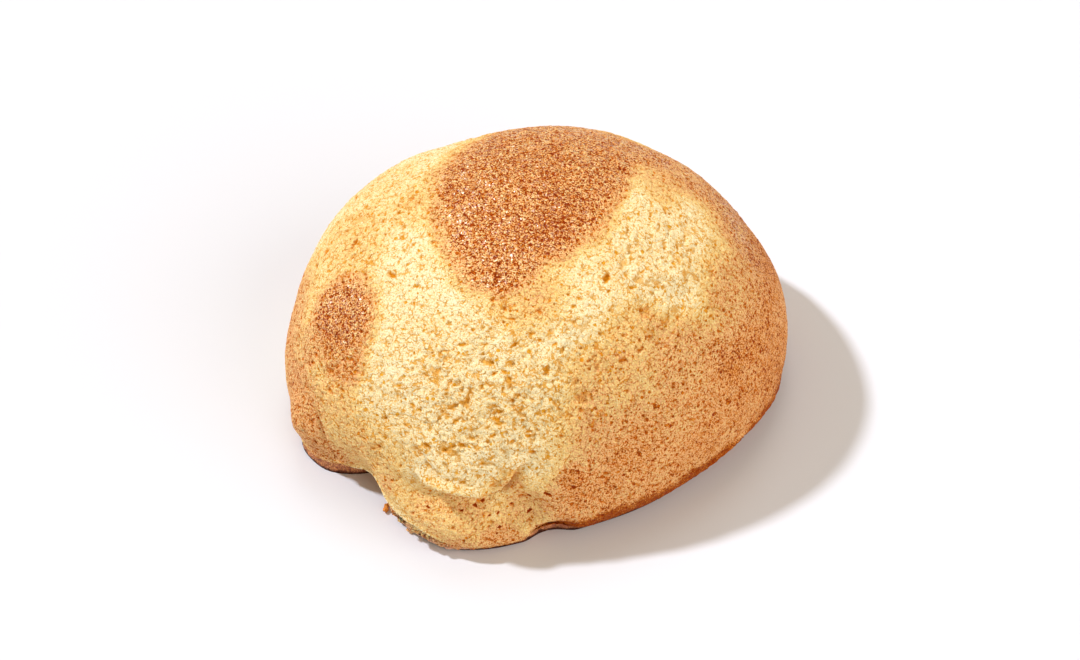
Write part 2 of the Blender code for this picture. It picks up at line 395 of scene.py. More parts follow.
def colour_property(name, description, code):
    """A colour that a user may change, with an sRGB hex default."""
    return FloatVectorProperty(
        name=name, description=description, subtype="COLOR", size=3, min=0, max=1,
        default=linear(code),
    )


def length_property(name, description, millimetres):
    """A length that a user may change, with a default in millimetres."""
    return FloatProperty(
        name=name, description=description, default=millimetres * MM, min=0,
        subtype="DISTANCE", unit="LENGTH", precision=5,
    )


class CrustSettings(bpy.types.PropertyGroup):
    """Sizes and colours of the baked crust."""

    palest: colour_property("Palest crumb", "Tips of unbrowned grains", "#FBF0CC")
    pale: colour_property("Pale crumb", "Unbrowned crust", "#F5E1AF")
    golden: colour_property("Golden crust", "Lightly baked crust", "#F4CF82")
    orange: colour_property("Orange crust", "Crust round the browned places", "#ECB582")
    brown: colour_property("Browned crust", "Well browned crust", "#DF8E3B")
    dark: colour_property("Dark crust", "Gaps between browned grains", "#A64D0A")
    burnt: colour_property("Burnt edge", "Edge that touched the tray", "#4A241A")
    # Pits and gaps are multiplied by this colour: painted shade, warmed as by light through the
    # crumb.
    crumb: colour_property("Inner crumb", "Light that comes through the crumb of a pit", "#E9B648")
    under: colour_property("Underside crust", "Bread below the hem", "#FAD2C0")
    clump_size: length_property("Clump size", "Size of a clump of crumb", 3.0)
    clump_depth: length_property("Clump depth", "Depth of the cracks between clumps", 0.34)
    pits: IntProperty(name="Pits", description="Number of pits", default=300, min=0)
    pores: IntProperty(name="Pores", description="Number of pores", default=700, min=0)
    seed: IntProperty(name="Seed", description="Start of the random draws", default=11)


class LooseSettings(bpy.types.PropertyGroup):
    """Sizes and colours of the loose crumbs."""

    toasted: colour_property("Toasted crumb", "Colour of the long crumb", "#E8912E")
    plain: colour_property("Plain crumb", "Colour of the round crumb", "#E9B47C")
    flake: colour_property("Burnt flakes", "Colour of the thin flakes", "#8A6A62")
    seed: IntProperty(name="Seed", description="Start of the crumbs' shapes", default=3)


class TableSettings(bpy.types.PropertyGroup):
    """Light and table."""

    sun_strength: FloatProperty(name="Sun", description="Strength of the key light", default=2.9)
    sun_size: FloatProperty(
        name="Sun size", description="Width of the key light", subtype="ANGLE",
        default=math.radians(4.0),
    )
    card_strength: FloatProperty(
        name="Card", description="Strength of the soft light from the front right", default=2.0
    )
    sky_strength: FloatProperty(
        name="Sky", description="Strength of the soft light from behind and above", default=0.45
    )
    fill_strength: FloatProperty(name="Fill", description="Strength of the fill", default=0.48)
    sun: colour_property("Sun colour", "Colour of the key light", "#FAFCFF")
    card: colour_property("Card colour", "Light from the front right", "#FFFCF6")
    fill: colour_property("Fill colour", "Light from the room", "#FFE7BE")
    table: colour_property("Table", "Colour of the table", "#D8DCE8")


def add(tree, kind, inputs=None, **settings):
    """Adds a node to a tree, with its settings, and its inputs' values or links."""
    node = tree.nodes.new(kind)
    for key, value in settings.items():
        setattr(node, key, value)
    for key, value in (inputs or {}).items():
        if isinstance(value, bpy.types.NodeSocket):
            tree.links.new(value, node.inputs[key])
        else:
            node.inputs[key].default_value = value
    return node


def per_metre(millimetres):
    """The scale of a pattern whose features are this far apart."""
    return 1 / (millimetres * MM)


def new_material(name):
    """An empty node material with its output."""
    material = bpy.data.materials.new(name)
    material.use_nodes = True
    material.node_tree.nodes.clear()
    return material, add(material.node_tree, "ShaderNodeOutputMaterial")


def smooth(low, high, values):
    """0 below low, 1 above high and an even curve between."""
    t = np.clip((values - low) / (high - low), 0, 1)
    return t * t * (3 - 2 * t)


def azimuth_of(points):
    """Azimuths of points in degrees, from 0 to 360."""
    return np.degrees(np.arctan2(points[:, 1], points[:, 0])) % 360


def hem_heights(azimuths):
    """Height of the crust's lower edge at azimuths in degrees."""
    return np.interp(azimuths % 360, [h.azimuth for h in HEM], [h.height for h in HEM])


def inside_outline(points, outline):
    """How far each point lies inside an outline in plan, negative outside."""
    x, y = points[:, 0], points[:, 1]
    nearest = np.full(len(points), np.inf)
    inside = np.zeros(len(points), bool)
    for (ax, ay), (bx, by) in zip(outline, outline[1:] + outline[:1]):
        dx, dy = bx - ax, by - ay
        t = np.clip(((x - ax) * dx + (y - ay) * dy) / (dx * dx + dy * dy), 0, 1)
        nearest = np.minimum(nearest, np.hypot(x - ax - t * dx, y - ay - t * dy))
        crosses = (ay > y) != (by > y)
        inside ^= crosses & (x < ax + (y - ay) * dx / np.where(dy == 0, 1, dy))
    return np.where(inside, nearest, -nearest)


def noise_at(points, size, octaves=1, shift=0.0):
    """Smooth noise at points, about -1 to 1, with features of a size in millimetres."""
    offset = Vector((shift, -shift, 2 * shift))
    return np.array([
        noise.fractal(Vector(p) / size + offset, 1.0, 2.0, octaves) for p in points
    ])


def clumps_at(points, size):
    """Distance to the nearest clump's middle and to the border with the next, in clump sizes."""
    middles, borders = np.empty(len(points)), np.empty(len(points))
    for i, p in enumerate(points):
        near = noise.voronoi(Vector(p) / size)[0]
        middles[i], borders[i] = near[0], near[1] - near[0]
    return middles, borders


def fold_relief(points, normals, fold):
    """How far a fold's edge swells at points, and how far the hollow below it sinks."""
    nearest = np.full(len(points), np.inf)
    above, along = np.zeros(len(points)), np.zeros(len(points))
    line = np.array(fold.line)
    done = 0.0
    for start, end in zip(line, line[1:]):
        span = end - start
        length = np.linalg.norm(span)
        t = np.clip((points - start) @ span / length**2, 0, 1)
        offset = points - start - t[:, None] * span
        away = np.linalg.norm(offset, axis=1)
        closer = away < nearest
        nearest = np.where(closer, away, nearest)
        above = np.where(closer, (offset * np.cross(normals, span / length)).sum(axis=1), above)
        along = np.where(closer, done + t * length, along)
        done += length
    share = smooth(0.0, fold.fade_in, along) * (1 - smooth(done - fold.fade_out, done, along))
    share *= 1 - smooth(3.0, 5.0, nearest)
    swell = fold.swell * np.exp(-(((above / fold.width - 1.4) / 1.5) ** 2))
    hollow = np.exp(-(((above / fold.width + 1.0) / 1.0) ** 2))
    return swell * share, hollow * share


def tone_with_painted_light_at(points):
    """Tone of the baked colour at points, before its grain: the oven's browning, with painted shade
    and a painted sheen among it.
    """
    total = np.full(len(points), PALE_TONE**BLEND)
    for place in BROWNED_OR_SHADED:
        away = np.linalg.norm(points - (place.x, place.y, place.z), axis=1)
        share = 1 - smooth(place.even, place.even + place.soft, away)
        total += (place.tone * share) ** BLEND
    wobble = CAP_WOBBLE * noise_at(points, 5.0, octaves=4, shift=4.0)
    inside = inside_outline(points, CAP_OUTLINE) + wobble
    soft = np.interp(points[:, 0], CAP_SIDES, (CAP_SOFT_LEFT, CAP_SOFT_RIGHT))
    cap = CAP_TONE * smooth(0.0, 1.0, (inside + soft) / (CAP_SOFT_IN + soft))
    # A painted sheen makes the cap paler towards its back.
    cap *= 1 - CAP_BACK_SHEEN * smooth(*CAP_BACK, points[:, 1])
    tone = np.maximum(total ** (1 / BLEND), cap * (points[:, 2] > CAP_LOWEST))
    rim = RIM_TONE * (1 - smooth(RIM_FROM, RIM_TO, points[:, 2]))
    return np.clip(np.maximum(tone, rim), 0, 1)


def turned_at(points, normals):
    """Tone at points of the right side, darkest where it turns under and faces down: partly
    browned, partly painted shade.
    """
    looks_up = normals[:, 2] + 0.12 * noise_at(points, 3.5, octaves=4, shift=11.0)
    share = (1 - smooth(-0.3, 0.3, looks_up)) * smooth(*TURNED_RIGHT, points[:, 0])
    share *= 1 - smooth(*TURNED_BACK, points[:, 1])
    return TURNED_TONE * share * (1 - smooth(*TURNED_HEIGHT, points[:, 2]))


def crumbliness_at(points):
    """How broken into clumps the crust is at points, from 0 to 1."""
    most = np.zeros(len(points))
    for place in CRUMBLY:
        away = np.linalg.norm(points - (place.x, place.y, place.z), axis=1)
        share = 1 - smooth(*CRUMBLY_EDGE, away / place.reach)
        most = np.maximum(most, place.share * share)
    return most


def dig(points, normals, starts, kind, rng, tree):
    """Depth of pits of a kind, dug at points of these numbers."""
    sunk = np.zeros(len(points))
    for start in starts:
        middle, normal = points[start], Vector(normals[start])
        level = Vector((0, 0, 1)).cross(normal)
        if level.length < 1e-3:
            level = Vector((1, 0, 0))
        turn = Matrix.Rotation(rng.normal(0, 0.5), 3, normal)
        along = turn @ level.normalized()
        across = normal.cross(along)
        size = rng.uniform(*kind.sizes)
        stretch = rng.uniform(*kind.stretches)
        wobble = Vector(rng.uniform(-50, 50, 3))
        for _, index, _ in tree.find_range(middle, size * stretch * 1.4):
            offset = Vector(points[index] - middle)
            u, v = offset.dot(along) / (size * stretch), offset.dot(across) / size
            edge = 1 + 0.45 * noise.noise(offset / (0.7 * size) + wobble)
            inside = 1 - (u * u + v * v) / (edge * edge)
            if inside > 0:
                sunk[index] = max(sunk[index], kind.depth * size * inside**0.6)
    return sunk


def clump_relief(points, crumbly, browning_and_painted_light, settings):
    """How far the crust's clumps stand out at points, and how cracked it is there."""
    clump, depth = settings.clump_size / MM, settings.clump_depth / MM
    bend = np.stack([noise_at(points, 2.2, octaves=3, shift=s) for s in (1.0, 7.0, 13.0)], axis=1)
    middle, border = clumps_at(points * (1.0, 1.0, 1.3) + 1.3 * bend, clump)
    ragged = noise_at(points, 2.6, octaves=4, shift=21.0) - 0.25 * np.exp(-((border / 0.12) ** 2))
    crack = smooth(0.42, 0.66, -ragged)
    dome = 0.5 - middle**2
    crumb_middle, crumb_border = clumps_at(points + 0.5 * bend, CRUMB.size)
    gap = np.exp(-((crumb_border / 0.13) ** 2))
    gap *= smooth(-0.35, 0.25, noise_at(points, 2.0, octaves=2, shift=6.0))

    amount = 0.12 + 0.88 * crumbly
    crumbs = CRUMB.height * (0.4 - crumb_middle**2) - CRUMB_GAP_DEPTH * gap
    lift = amount * (0.95 * dome - crack) * depth
    lift += SWELL.height * crumbly * noise_at(points, SWELL.size, octaves=3, shift=17.0)
    lift += (0.4 + 0.6 * crumbly) * crumbs
    lift += GRIT.height * (1 - 0.5 * crumbly) * noise_at(points, GRIT.size, octaves=2, shift=9.0)

    # Fine wrinkles run across the back of the browned cap.
    capped = smooth(0.6, 0.75, browning_and_painted_light) * smooth(-8.0, 10.0, points[:, 1])
    capped *= points[:, 2] > 25
    wrinkles = noise_at(points * (0.35, 1.0, 1.0) + 0.4 * bend, WRINKLE.size, octaves=2, shift=31.0)
    lift += capped * WRINKLE.height * wrinkles
    return lift, 0.7 * amount * crack


def push_relief(points, push):
    """How far a push moves points out."""
    away = np.linalg.norm(points - (push.x, push.y, push.z), axis=1)
    return push.height * (1 - smooth(push.even, push.reach, away))


def dug_pits(points, normals, crumbly, browning_and_painted_light, open_crust, settings):
    """Depth of the pits and pores at points, and how dark the deep pits low on the lobe are
    painted, as painted shade in them.
    """
    rng = np.random.default_rng(settings.seed)
    tree = kdtree.KDTree(len(points))
    for index, p in enumerate(points):
        tree.insert(p, index)
    tree.balance()

    # Ragged pits keep to the crumbly places, and round pores to the golden ones.
    rough = open_crust * (0.06 + crumbly**1.5) * (1 - 0.9 * (browning_and_painted_light > 0.6))
    starts = rng.choice(len(points), settings.pits, p=rough / rough.sum())
    pits = dig(points, normals, starts, RAGGED_PIT, rng, tree)
    sponge = open_crust * (0.15 + smooth(0.2, 0.5, browning_and_painted_light)) * (1 - 0.8 * (browning_and_painted_light > 0.7))
    sponge *= 1 - 0.3 * crumbly
    starts = rng.choice(len(points), settings.pores, p=sponge / sponge.sum())
    pits = np.maximum(pits, dig(points, normals, starts, ROUND_PORE, rng, tree))

    # The deep pits have places of their own. Those low on the lobe are painted dark inside, as
    # painted shade.
    painted_pore_shade = np.zeros(len(points))
    for pit in DEEP_PITS:
        start = tree.find((pit.x, pit.y, pit.z))[1]
        kind = PitKind((pit.size, pit.size), (pit.stretch, pit.stretch), DEEP_PIT_DEPTH)
        sunk = dig(points, normals, [start], kind, rng, tree)
        pits = np.maximum(pits, sunk)
        if pit.z < BLACK_BELOW:
            painted_pore_shade = np.maximum(painted_pore_shade, smooth(0.3, 0.9, sunk / pit.size))
    return pits, painted_pore_shade


def above_hem(points, azimuths):
    """How far points are above the crust's lower edge, at right angles to it."""
    steep = (hem_heights(azimuths + 0.6) - hem_heights(azimuths - 0.6)) / np.maximum(
        np.radians(1.2) * np.hypot(points[:, 0], points[:, 1]), 0.1
    )
    return (points[:, 2] - hem_heights(azimuths)) / np.sqrt(1 + steep**2)


def crust_relief(points, normals, settings):
    """How far each point of the crust moves out, in millimetres, and its tones and shares."""
    crumbly = crumbliness_at(points)
    browning_and_painted_light = tone_with_painted_light_at(points)
    azimuths = azimuth_of(points)
    over = above_hem(points, azimuths)
    under = over < 0
    open_crust = np.where(under, 0.0, 1.0) * (normals[:, 2] > -0.3)

    lift, cracks = clump_relief(points, crumbly, browning_and_painted_light, settings)
    # The hollow below each fold is also painted darker, as painted shade, through the pit share.
    valley = np.zeros(len(points))
    for fold in FOLDS:
        swell, hollow = fold_relief(points, normals, fold)
        lift += swell - fold.hollow * hollow
        valley = np.maximum(valley, 0.4 * min(fold.hollow, 1.6) * hollow)
    for push in PUSHES:
        lift += push_relief(points, push)
    pits, painted_pore_shade = dug_pits(points, normals, crumbly, browning_and_painted_light, open_crust, settings)

    # Below the hem the bread is flaky. The crust's edge above it swells to a lip.
    flaky = FLAKE.height * noise_at(points * (1.0, 1.0, 1.8), FLAKE.size, octaves=3, shift=5.0)
    strip = smooth(*STRIP_FROM, azimuths) * (1 - smooth(*STRIP_TO, azimuths))
    lift = np.where(under, flaky + STRIP_HEIGHT * strip, lift - pits)
    high = smooth(*HIGH_HEM, hem_heights(azimuths))
    lip = 0.3 + 0.7 * high * (1 - smooth(4.0, 6.0, -over))
    lift += lip * (0.6 * np.exp(-(((over - 0.6) / 0.7) ** 2)) - 0.5 * smooth(-0.3, 0.6, -over))
    calm = smooth(0.0, 1.2, points[:, 2])

    # Below the hem it is pinkish at the front left, and baked brown elsewhere.
    bared = smooth(*BARED_FROM, azimuths) * (1 - smooth(*BARED_TO, azimuths))
    baked = 0.52 + 0.22 * (1 - bared) + 0.2 * (1 - smooth(0.5, 7.0, points[:, 2]))
    browning_and_painted_light = np.where(over < 0.1, baked, browning_and_painted_light)
    # Along the lip just above the hem the tone is painted paler: a painted highlight on the lip's
    # edge.
    edge = np.exp(-(((over - 0.5) / 0.5) ** 2)) * high
    browning_and_painted_light = browning_and_painted_light - 0.25 * edge * (over > 0.1)
    # Where the right side turns under and faces down it is painted darker: partly browning, partly
    # painted shade.
    browning_and_painted_light = np.maximum(browning_and_painted_light, turned_at(points, normals))
    below = smooth(-0.1, 0.3, -over) * (1 - smooth(2.0, 7.0, points[:, 2]))
    # The pit share paints pits, cracks and the hollows below the folds darker: painted shade.
    return lift * calm + push_relief(points, NOTCH), {
        "pit": smooth(0.15, 0.85, pits / 0.3 + cracks + valley),
        "painted_pore_shade": painted_pore_shade,
        "browning_and_painted_light": browning_and_painted_light,
        "under": below * (0.3 + 0.7 * bared),
        "crumbly": crumbly,
        "glazed": smooth(0.5, 0.8, browning_and_painted_light) * smooth(25.0, 38.0, points[:, 2]),
    }


def refined_copy(node):
    """A merged copy of a node's mesh without its flat base, split finely and smoothed."""
    bm = bmesh.new()
    bm.from_mesh(node.data)
    bmesh.ops.remove_doubles(bm, verts=bm.verts, dist=MERGE_WITHIN * MM)
    base = [f for f in bm.faces if all(v.co.z < BASE_BELOW * MM for v in f.verts)]
    bmesh.ops.delete(bm, geom=base, context="FACES")
    bmesh.ops.join_triangles(
        bm, faces=bm.faces, angle_face_threshold=math.pi, angle_shape_threshold=math.pi
    )
    mesh = bpy.data.meshes.new("crust_coarse")
    bm.to_mesh(mesh)
    bm.free()
    coarse = bpy.data.objects.new("crust_coarse", mesh)
    bpy.context.scene.collection.objects.link(coarse)
    split = coarse.modifiers.new("split", "SUBSURF")
    split.levels = split.render_levels = SPLIT_LEVELS
    bpy.context.view_layer.update()
    evaluated = coarse.evaluated_get(bpy.context.evaluated_depsgraph_get())
    fine = bpy.data.meshes.new_from_object(evaluated)
    bpy.data.objects.remove(coarse)
    return fine


def thinned(mesh):
    """The mesh with fewer triangles where it is flat."""
    draft = bpy.data.objects.new("crust_draft", mesh)
    bpy.context.scene.collection.objects.link(draft)
    thin = draft.modifiers.new("thin", "DECIMATE")
    thin.ratio = MOST_TRIANGLES / sum(len(p.vertices) - 2 for p in mesh.polygons)
    thin.use_collapse_triangulate = True
    bpy.context.view_layer.update()
    evaluated = draft.evaluated_get(bpy.context.evaluated_depsgraph_get())
    light = bpy.data.meshes.new_from_object(evaluated)
    bpy.data.objects.remove(draft)
    return light


def close_base(mesh):
    """Closes the open base of a mesh with one flat fan."""
    bm = bmesh.new()
    bm.from_mesh(mesh)
    rim = [e for e in bm.edges if e.is_boundary]
    for edge in rim:
        for v in edge.verts:
            v.co.z = 0.0
    made = bmesh.ops.contextual_create(bm, geom=rim)["faces"]
    if not made:
        raise RuntimeError("the base of the crust could not be closed")
    bmesh.ops.poke(bm, faces=made)
    bmesh.ops.recalc_face_normals(bm, faces=bm.faces)
    bm.to_mesh(mesh)
    bm.free()


def set_attribute(mesh, name, values):
    """Stores one number for each vertex of a mesh."""
    attribute = mesh.attributes.new(name, "FLOAT", "POINT")
    attribute.data.foreach_set("value", np.asarray(values, np.float32))


def pore_holes(tree, place, browning_and_painted_light):
    """Round pores: most cells hold one, up to 0.9 mm wide, and more of them where it is golden."""
    pore = add(tree, "ShaderNodeTexVoronoi", {"Vector": place, "Scale": per_metre(PORE_SPAN)})
    pick = add(tree, "ShaderNodeSeparateColor", {0: pore.outputs["Color"]}).outputs[1]
    wide = add(tree, "ShaderNodeMapRange", {
        "Value": pick, "From Min": 0.25, "From Max": 1.0, "To Min": 0.08, "To Max": 0.37,
    }, clamp=False).outputs[0]
    spongy = add(tree, "ShaderNodeMapRange", {
        "Value": browning_and_painted_light, "From Min": 0.2, "From Max": 0.5, "To Min": -0.2, "To Max": 0.0,
    }).outputs[0]
    wide = add(tree, "ShaderNodeMath", {0: wide, 1: spongy}, operation="ADD").outputs[0]
    hole = add(tree, "ShaderNodeMath", {
        0: wide, 1: pore.outputs["Distance"],
    }, operation="SUBTRACT").outputs[0]
    return add(tree, "ShaderNodeMapRange", {
        "Value": hole, "From Min": -0.02, "From Max": 0.05,
    }, interpolation_type="SMOOTHSTEP").outputs[0]


def seam_gaps(tree, clot, seam, crumbly):
    """Narrow gaps, where here and there the seam between two crumbs opens."""
    pull = add(tree, "ShaderNodeSeparateColor", {0: clot.outputs["Color"]}).outputs[1]
    open_seam = add(tree, "ShaderNodeMapRange", {
        "Value": pull, "From Min": 0.5, "From Max": 0.66, "To Min": 0.0, "To Max": 0.22,
    }).outputs[0]
    loose = add(tree, "ShaderNodeMapRange", {
        "Value": crumbly, "From Min": 0.0, "From Max": 0.6, "To Min": 0.6, "To Max": 1.0,
    }).outputs[0]
    open_seam = add(tree, "ShaderNodeMath", {
        0: open_seam, 1: loose,
    }, operation="MULTIPLY").outputs[0]
    gap = add(tree, "ShaderNodeMath", {0: open_seam, 1: seam}, operation="SUBTRACT").outputs[0]
    return add(tree, "ShaderNodeMapRange", {
        "Value": gap, "From Min": -0.01, "From Max": 0.07, "To Max": 0.85,
    }, interpolation_type="SMOOTHSTEP").outputs[0]


def ragged_hollows(tree, bent, crumbly):
    """Ragged hollows between the crumbs, up to 1 mm wide."""
    den = add(tree, "ShaderNodeTexVoronoi", {"Vector": bent, "Scale": per_metre(HOLLOW_SPAN)})
    chance = add(tree, "ShaderNodeSeparateColor", {0: den.outputs["Color"]}).outputs[1]
    reach = add(tree, "ShaderNodeMapRange", {
        "Value": chance, "From Min": 0.3, "From Max": 1.0, "To Min": 0.02, "To Max": 0.34,
    }, clamp=False).outputs[0]
    firm = add(tree, "ShaderNodeMapRange", {
        "Value": crumbly, "From Min": 0.0, "From Max": 0.5, "To Min": -0.09, "To Max": 0.0,
    }).outputs[0]
    reach = add(tree, "ShaderNodeMath", {0: reach, 1: firm}, operation="ADD").outputs[0]
    hollow = add(tree, "ShaderNodeMath", {
        0: reach, 1: den.outputs["Distance"],
    }, operation="SUBTRACT").outputs[0]
    return add(tree, "ShaderNodeMapRange", {
        "Value": hollow, "From Min": -0.02, "From Max": 0.06,
    }, interpolation_type="SMOOTHSTEP").outputs[0]


def crust_material(settings):
    """Baked shortcrust: dry matt crumb, browned glossier where the sugar caramelised."""
    material, output = new_material("baked shortcrust")
    tree = material.node_tree
    place = add(tree, "ShaderNodeTexCoord").outputs["Object"]
    # Besides the oven's browning, the tone share holds painted shade, a painted highlight on the
    # lip and a painted sheen on the cap. The pit and dark-pore shares are painted shade.
    browning_and_painted_light, pit, painted_pore_shade, under, crumbly, glazed = (
        add(tree, "ShaderNodeAttribute", attribute_name=name).outputs["Fac"]
        for name in ("browning_and_painted_light", "pit", "painted_pore_shade", "under", "crumbly", "glazed")
    )

    # From coarse to fine: blotches, clots, crumbs with the seams between them, grains, specks.
    blotch = add(tree, "ShaderNodeTexNoise", {
        "Vector": place, "Scale": per_metre(BLOTCH_SPAN), "Detail": 3.0,
    }).outputs["Fac"]
    clot = add(tree, "ShaderNodeTexNoise", {
        "Vector": place, "Scale": per_metre(CLOT_SPAN), "Detail": 3.0, "Roughness": 0.7,
    })
    bent = add(tree, "ShaderNodeVectorMath", {
        0: clot.outputs["Color"], 1: (CLOT_BEND * MM,) * 3, 2: place,
    }, operation="MULTIPLY_ADD").outputs[0]
    crumb = add(tree, "ShaderNodeTexVoronoi", {"Vector": bent, "Scale": per_metre(CRUMB_SPAN)})
    seam = add(tree, "ShaderNodeTexVoronoi", {
        "Vector": bent, "Scale": per_metre(CRUMB_SPAN),
    }, feature="DISTANCE_TO_EDGE").outputs["Distance"]
    grain = add(tree, "ShaderNodeTexVoronoi", {"Vector": bent, "Scale": per_metre(GRAIN_SPAN)})
    speck = add(tree, "ShaderNodeTexNoise", {
        "Vector": place, "Scale": per_metre(SPECK_SPAN), "Detail": 0.0,
    })

    # Crumbs and grains are round domes. Their heights add up in millimetres, and their shades,
    # in which the finer ones weigh more, in tones.
    layers = []
    for source, power, middle, height, shade in (
        (clot.outputs["Fac"], 1.0, 0.5, 0.22, 0.15),
        (crumb.outputs["Distance"], 2.0, 0.3, -0.24, -0.12),
        (grain.outputs["Distance"], 2.0, 0.3, -0.2, -0.35),
        (speck.outputs["Fac"], 1.0, 0.5, 0.2, 0.9),
    ):
        dome = add(tree, "ShaderNodeMath", {0: source, 1: power}, operation="POWER").outputs[0]
        offset = add(tree, "ShaderNodeMath", {0: dome, 1: middle}, operation="SUBTRACT")
        layers.append((offset.outputs[0], height, shade))

    # Each grain's top is a facet that leans its own way.
    lean = add(tree, "ShaderNodeVectorMath", {
        0: grain.outputs["Color"], 1: (0.5, 0.5, 0.5),
    }, operation="SUBTRACT").outputs[0]
    reach = add(tree, "ShaderNodeVectorMath", {
        0: bent, 1: grain.outputs["Position"],
    }, operation="SUBTRACT").outputs[0]
    facet = add(tree, "ShaderNodeVectorMath", {0: lean, 1: reach}, operation="DOT_PRODUCT")
    layers.append((facet.outputs["Value"], FACET_RISE / MM, 0.0))
    rise = shades = 0.0
    for offset, height, shade in layers:
        rise = add(tree, "ShaderNodeMath", {
            0: offset, 1: height, 2: rise,
        }, operation="MULTIPLY_ADD").outputs[0]
        shades = add(tree, "ShaderNodeMath", {
            0: offset, 1: shade, 2: shades,
        }, operation="MULTIPLY_ADD").outputs[0]
    patchy = add(tree, "ShaderNodeMath", {0: blotch, 1: 0.5}, operation="SUBTRACT").outputs[0]

    hole = pore_holes(tree, place, browning_and_painted_light)
    deep = hole
    for opening in (pit, ragged_hollows(tree, bent, crumbly), seam_gaps(tree, clot, seam, crumbly)):
        deep = add(tree, "ShaderNodeMath", {0: deep, 1: opening}, operation="MAXIMUM").outputs[0]

    # Pores and the places between grains are painted darker and more golden: painted shade, warmed
    # as by light that has passed through crumb.
    low = add(tree, "ShaderNodeMapRange", {
        "Value": rise, "From Min": -0.04, "From Max": -0.18,
    }, interpolation_type="SMOOTHSTEP").outputs[0]
    most = add(tree, "ShaderNodeMapRange", {
        "Value": browning_and_painted_light, "From Min": 0.45, "From Max": 0.75, "To Min": 0.75, "To Max": 1.0,
    }).outputs[0]
    low = add(tree, "ShaderNodeMath", {0: low, 1: most}, operation="MULTIPLY").outputs[0]
    gold = add(tree, "ShaderNodeMath", {0: deep, 1: low}, operation="MAXIMUM").outputs[0]

    # Gaps between grains are painted deeper in tone, partly as painted shade between them, most of
    # all where the crust is browned.
    strength = add(tree, "ShaderNodeMapRange", {
        "Value": browning_and_painted_light, "From Min": 0.33, "From Max": 0.58, "To Min": -0.6, "To Max": -1.0,
    }).outputs[0]
    strength = add(tree, "ShaderNodeMath", {
        0: glazed, 1: -0.95, 2: strength,
    }, operation="MULTIPLY_ADD").outputs[0]
    tone = add(tree, "ShaderNodeMath", {
        0: patchy, 1: 0.3, 2: browning_and_painted_light,
    }, operation="MULTIPLY_ADD").outputs[0]
    tone = add(tree, "ShaderNodeMath", {
        0: shades, 1: strength, 2: tone,
    }, operation="MULTIPLY_ADD").outputs[0]
    # Pores, pits, cracks and the hollows below folds are painted darker in tone, as painted shade;
    # the deep pits low on the lobe darkest.
    darker = add(tree, "ShaderNodeMath", {0: hole, 1: browning_and_painted_light}, operation="MULTIPLY").outputs[0]
    tone = add(tree, "ShaderNodeMath", {
        0: darker, 1: 0.35, 2: tone,
    }, operation="MULTIPLY_ADD").outputs[0]
    tone = add(tree, "ShaderNodeMath", {0: pit, 1: 0.14, 2: tone}, operation="MULTIPLY_ADD")
    tone = add(tree, "ShaderNodeMath", {
        0: painted_pore_shade, 1: 0.9, 2: tone.outputs[0],
    }, operation="MULTIPLY_ADD").outputs[0]
    ramp = add(tree, "ShaderNodeValToRGB", {"Fac": tone})
    stops = ((0.0, settings.palest), (0.15, settings.pale), (0.33, settings.golden),
             (0.55, settings.orange), (0.78, settings.brown), (1.0, settings.dark))
    while len(ramp.color_ramp.elements) < len(stops):
        ramp.color_ramp.elements.new(0.5)
    for element, (where, tint) in zip(ramp.color_ramp.elements, stops):
        element.position, element.color = where, (*tint, 1)

    # A Mix node's sockets 0, 6 and 7 are its share and its two colours.
    tint = add(tree, "ShaderNodeMix", {
        0: gold, 6: ramp.outputs["Color"], 7: (*settings.crumb, 1),
    }, data_type="RGBA", blend_type="MULTIPLY").outputs[2]

    # Bread that the hem leaves bare is pinkish, and the edge on the table is burnt.
    pink = add(tree, "ShaderNodeMath", {0: under, 1: 0.6}, operation="MULTIPLY").outputs[0]
    tint = add(tree, "ShaderNodeMix", {
        0: pink, 6: tint, 7: (*settings.under, 1),
    }, data_type="RGBA").outputs[2]
    height = add(tree, "ShaderNodeSeparateXYZ", {0: place}).outputs["Z"]
    ragged = add(tree, "ShaderNodeMath", {
        0: clot.outputs["Fac"], 1: -SCORCH_WOBBLE * MM, 2: height,
    }, operation="MULTIPLY_ADD").outputs[0]
    scorch = add(tree, "ShaderNodeMapRange", {
        "Value": ragged, "From Min": SCORCH_HEIGHT * MM, "From Max": -SCORCH_HEIGHT * MM,
    }).outputs[0]
    tint = add(tree, "ShaderNodeMix", {
        0: scorch, 6: tint, 7: (*settings.burnt, 1),
    }, data_type="RGBA").outputs[2]

